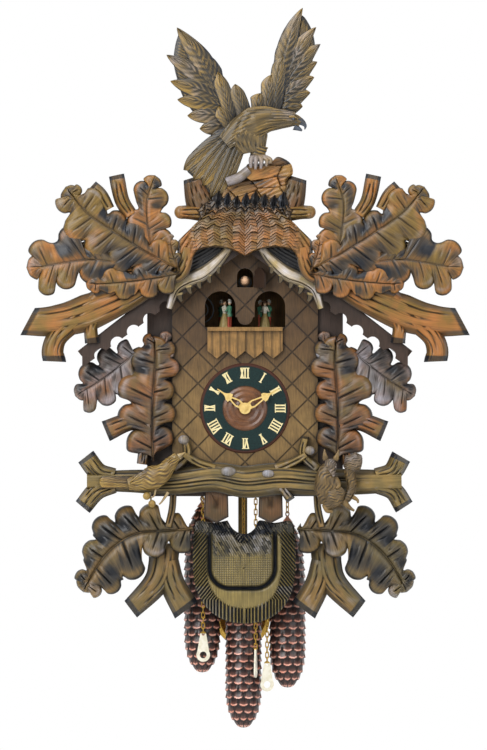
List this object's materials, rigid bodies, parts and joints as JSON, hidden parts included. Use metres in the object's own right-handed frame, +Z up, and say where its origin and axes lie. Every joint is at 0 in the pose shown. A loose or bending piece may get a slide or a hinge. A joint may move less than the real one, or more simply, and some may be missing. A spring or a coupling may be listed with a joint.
{
  "type": "cuckoo clock",
  "caption": "Carved wall clock of gabled case with oak leaves, branches and an eagle, cuckoo and dancing couples, pendulum and pine cone weights on chains.",
  "frame": {"origin": "centre of the hanging hole in the plane of the wall", "axes": "+X to the right, +Z up, +Y into the wall, so the clock looks along -Y"},
  "size_m": [0.5756, 0.2002, 0.9428],
  "materials": {
    "dark_wood": "dark stained, satin",
    "plain_wood": "stained, plain",
    "panel_wood": "stained and grooved, satin",
    "carved_orange": "carved limewood, orange-brown stain",
    "carved_brown": "carved limewood, olive-brown stain",
    "dial_black": "black-green chapter ring",
    "ivory": "ivory",
    "gilt": "ivory-gold",
    "painted_figures": "hand painted",
    "door_wood": "stained",
    "brass": "bright",
    "steel": "plain",
    "bellows_leather": "pale kid leather",
    "cone_iron": "dark brown paint, rubbed copper tips"
  },
  "bodies": {
    "root": {"side_board_left": "dark_wood", "side_board_right": "dark_wood", "case_floor": "dark_wood", "back_board": "plain_wood", "case_front": "dark_wood", "lattice_panel": "panel_wood", "hanger_plate": "steel", "attic_shelf": "dark_wood", "roof_left": "dark_wood", "roof_right": "dark_wood", "bargeboards": "dark_wood", "gable_arches": "carved_orange", "crown": "carved_brown", "eagle_body": "carved_brown", "eagle_wings": "carved_brown", "eagle_rock": "carved_brown", "eave_branch_left": "carved_orange", "eave_branch_right": "carved_orange", "top_leaves_left": "carved_orange", "top_leaves_right": "carved_orange", "cross_branch": "carved_brown", "songbird": "carved_brown", "squirrel": "carved_brown", "upright_leaves_left": "carved_brown", "upright_leaves_right": "carved_brown", "lower_leaf_left": "carved_brown", "lower_leaf_right": "carved_brown", "lower_forks": "carved_brown", "nest_plate": "carved_brown", "balcony": "panel_wood", "dial": "dial_black", "numerals": "ivory", "movement_frame": "brass", "bellows_tubes": "plain_wood", "gong": "steel", "music_movement": "brass", "inner_chains": "brass"},
    "back_door": {"back_door": "plain_wood"},
    "minute": {"minute_hand": "gilt"},
    "hour": {"hour_hand": "gilt"},
    "cuckoo": {"cuckoo_bird": "painted_figures"},
    "cuckoo_door": {"cuckoo_door": "door_wood"},
    "carousel": {"carousel": "painted_figures"},
    "pendulum": {"pendulum_rod": "carved_brown", "pendulum_bob": "carved_brown"},
    "anchor": {"anchor": "steel"},
    "bellows_left": {"bellows_left": "bellows_leather"},
    "bellows_right": {"bellows_right": "bellows_leather"},
    "wheel_left": {"great_wheel_left": "brass"},
    "weight_left": {"cone_left": "cone_iron", "weight_chain_left": "brass"},
    "ring_left": {"ring_chain_left": "brass"},
    "wheel_centre": {"great_wheel_centre": "brass"},
    "weight_centre": {"cone_centre": "cone_iron", "weight_chain_centre": "brass"},
    "ring_centre": {"ring_chain_centre": "brass"},
    "wheel_right": {"great_wheel_right": "brass"},
    "weight_right": {"cone_right": "cone_iron", "weight_chain_right": "brass"},
    "ring_right": {"ring_chain_right": "brass"}
  },
  "joints": [
    {"name": "back_door_hinge", "type": "hinge", "parent": "root", "child": "back_door", "pos_m": [-0.078, -0.002, -0.165], "axis": [0, 0, 1], "range_deg": [0, 100]},
    {"name": "minute_turn", "type": "hinge", "parent": "root", "child": "minute", "pos_m": [0, -0.146, -0.167], "axis": [0, 1, 0], "continuous": true},
    {"name": "hour_turn", "type": "hinge", "parent": "root", "child": "hour", "pos_m": [0, -0.146, -0.167], "axis": [0, 1, 0], "continuous": true},
    {"name": "cuckoo_slide", "type": "slide", "parent": "root", "child": "cuckoo", "axis": [0, 1, 0], "range_m": [0, 0.034]},
    {"name": "cuckoo_door_swing", "type": "hinge", "parent": "root", "child": "cuckoo_door", "pos_m": [0.012, -0.1475, 0], "axis": [0, 0, -1], "range_deg": [0, 128]},
    {"name": "carousel_turn", "type": "hinge", "parent": "root", "child": "carousel", "pos_m": [0, -0.0878, -0.061], "axis": [0, 0, 1], "continuous": true},
    {"name": "pendulum_swing", "type": "hinge", "parent": "root", "child": "pendulum", "pos_m": [-0.003, -0.026, -0.13], "axis": [0, 1, 0], "range_deg": [-4, 4]},
    {"name": "anchor_rock", "type": "hinge", "parent": "root", "child": "anchor", "pos_m": [-0.003, -0.06, -0.13], "axis": [0, 1, 0], "range_deg": [-4, 4]},
    {"name": "weight_left_drop", "type": "slide", "parent": "root", "child": "weight_left", "axis": [0, 0, -1], "range_m": [0, 0.118]},
    {"name": "ring_left_rise", "type": "slide", "parent": "root", "child": "ring_left", "axis": [0, 0, 1], "range_m": [0, 0.118]},
    {"name": "wheel_left_turn", "type": "hinge", "parent": "root", "child": "wheel_left", "pos_m": [-0.04475, -0.068, -0.222], "axis": [0, -1, 0], "range_deg": [0, 580]},
    {"name": "weight_centre_drop", "type": "slide", "parent": "root", "child": "weight_centre", "axis": [0, 0, -1], "range_m": [0, 0.118]},
    {"name": "ring_centre_rise", "type": "slide", "parent": "root", "child": "ring_centre", "axis": [0, 0, 1], "range_m": [0, 0.118]},
    {"name": "wheel_centre_turn", "type": "hinge", "parent": "root", "child": "wheel_centre", "pos_m": [0.00975, -0.068, -0.222], "axis": [0, -1, 0], "range_deg": [0, 580]},
    {"name": "weight_right_drop", "type": "slide", "parent": "root", "child": "weight_right", "axis": [0, 0, -1], "range_m": [0, 0.118]},
    {"name": "ring_right_rise", "type": "slide", "parent": "root", "child": "ring_right", "axis": [0, 0, 1], "range_m": [0, 0.118]},
    {"name": "wheel_right_turn", "type": "hinge", "parent": "root", "child": "wheel_right", "pos_m": [0.04425, -0.068, -0.222], "axis": [0, 1, 0], "range_deg": [0, 580]},
    {"name": "bellows_left_lift", "type": "hinge", "parent": "root", "child": "bellows_left", "pos_m": [-0.1184, -0.078, -0.1027], "axis": [0, -1, 0], "range_deg": [0, 10]},
    {"name": "bellows_right_lift", "type": "hinge", "parent": "root", "child": "bellows_right", "pos_m": [0.1184, -0.078, -0.1027], "axis": [0, 1, 0], "range_deg": [0, 10]}
  ],
  "couplings": [
    {"joint": "hour_turn", "follows": "minute_turn", "ratio": 0.083333},
    {"joint": "cuckoo_door_swing", "follows": "cuckoo_slide", "rad_per_m": 65.7},
    {"joint": "anchor_rock", "follows": "pendulum_swing", "ratio": 1},
    {"joint": "ring_left_rise", "follows": "weight_left_drop", "ratio": 1},
    {"joint": "wheel_left_turn", "follows": "weight_left_drop", "rad_per_m": 85.106},
    {"joint": "ring_centre_rise", "follows": "weight_centre_drop", "ratio": 1},
    {"joint": "wheel_centre_turn", "follows": "weight_centre_drop", "rad_per_m": 85.106},
    {"joint": "ring_right_rise", "follows": "weight_right_drop", "ratio": 1},
    {"joint": "wheel_right_turn", "follows": "weight_right_drop", "rad_per_m": 85.106}
  ]
}
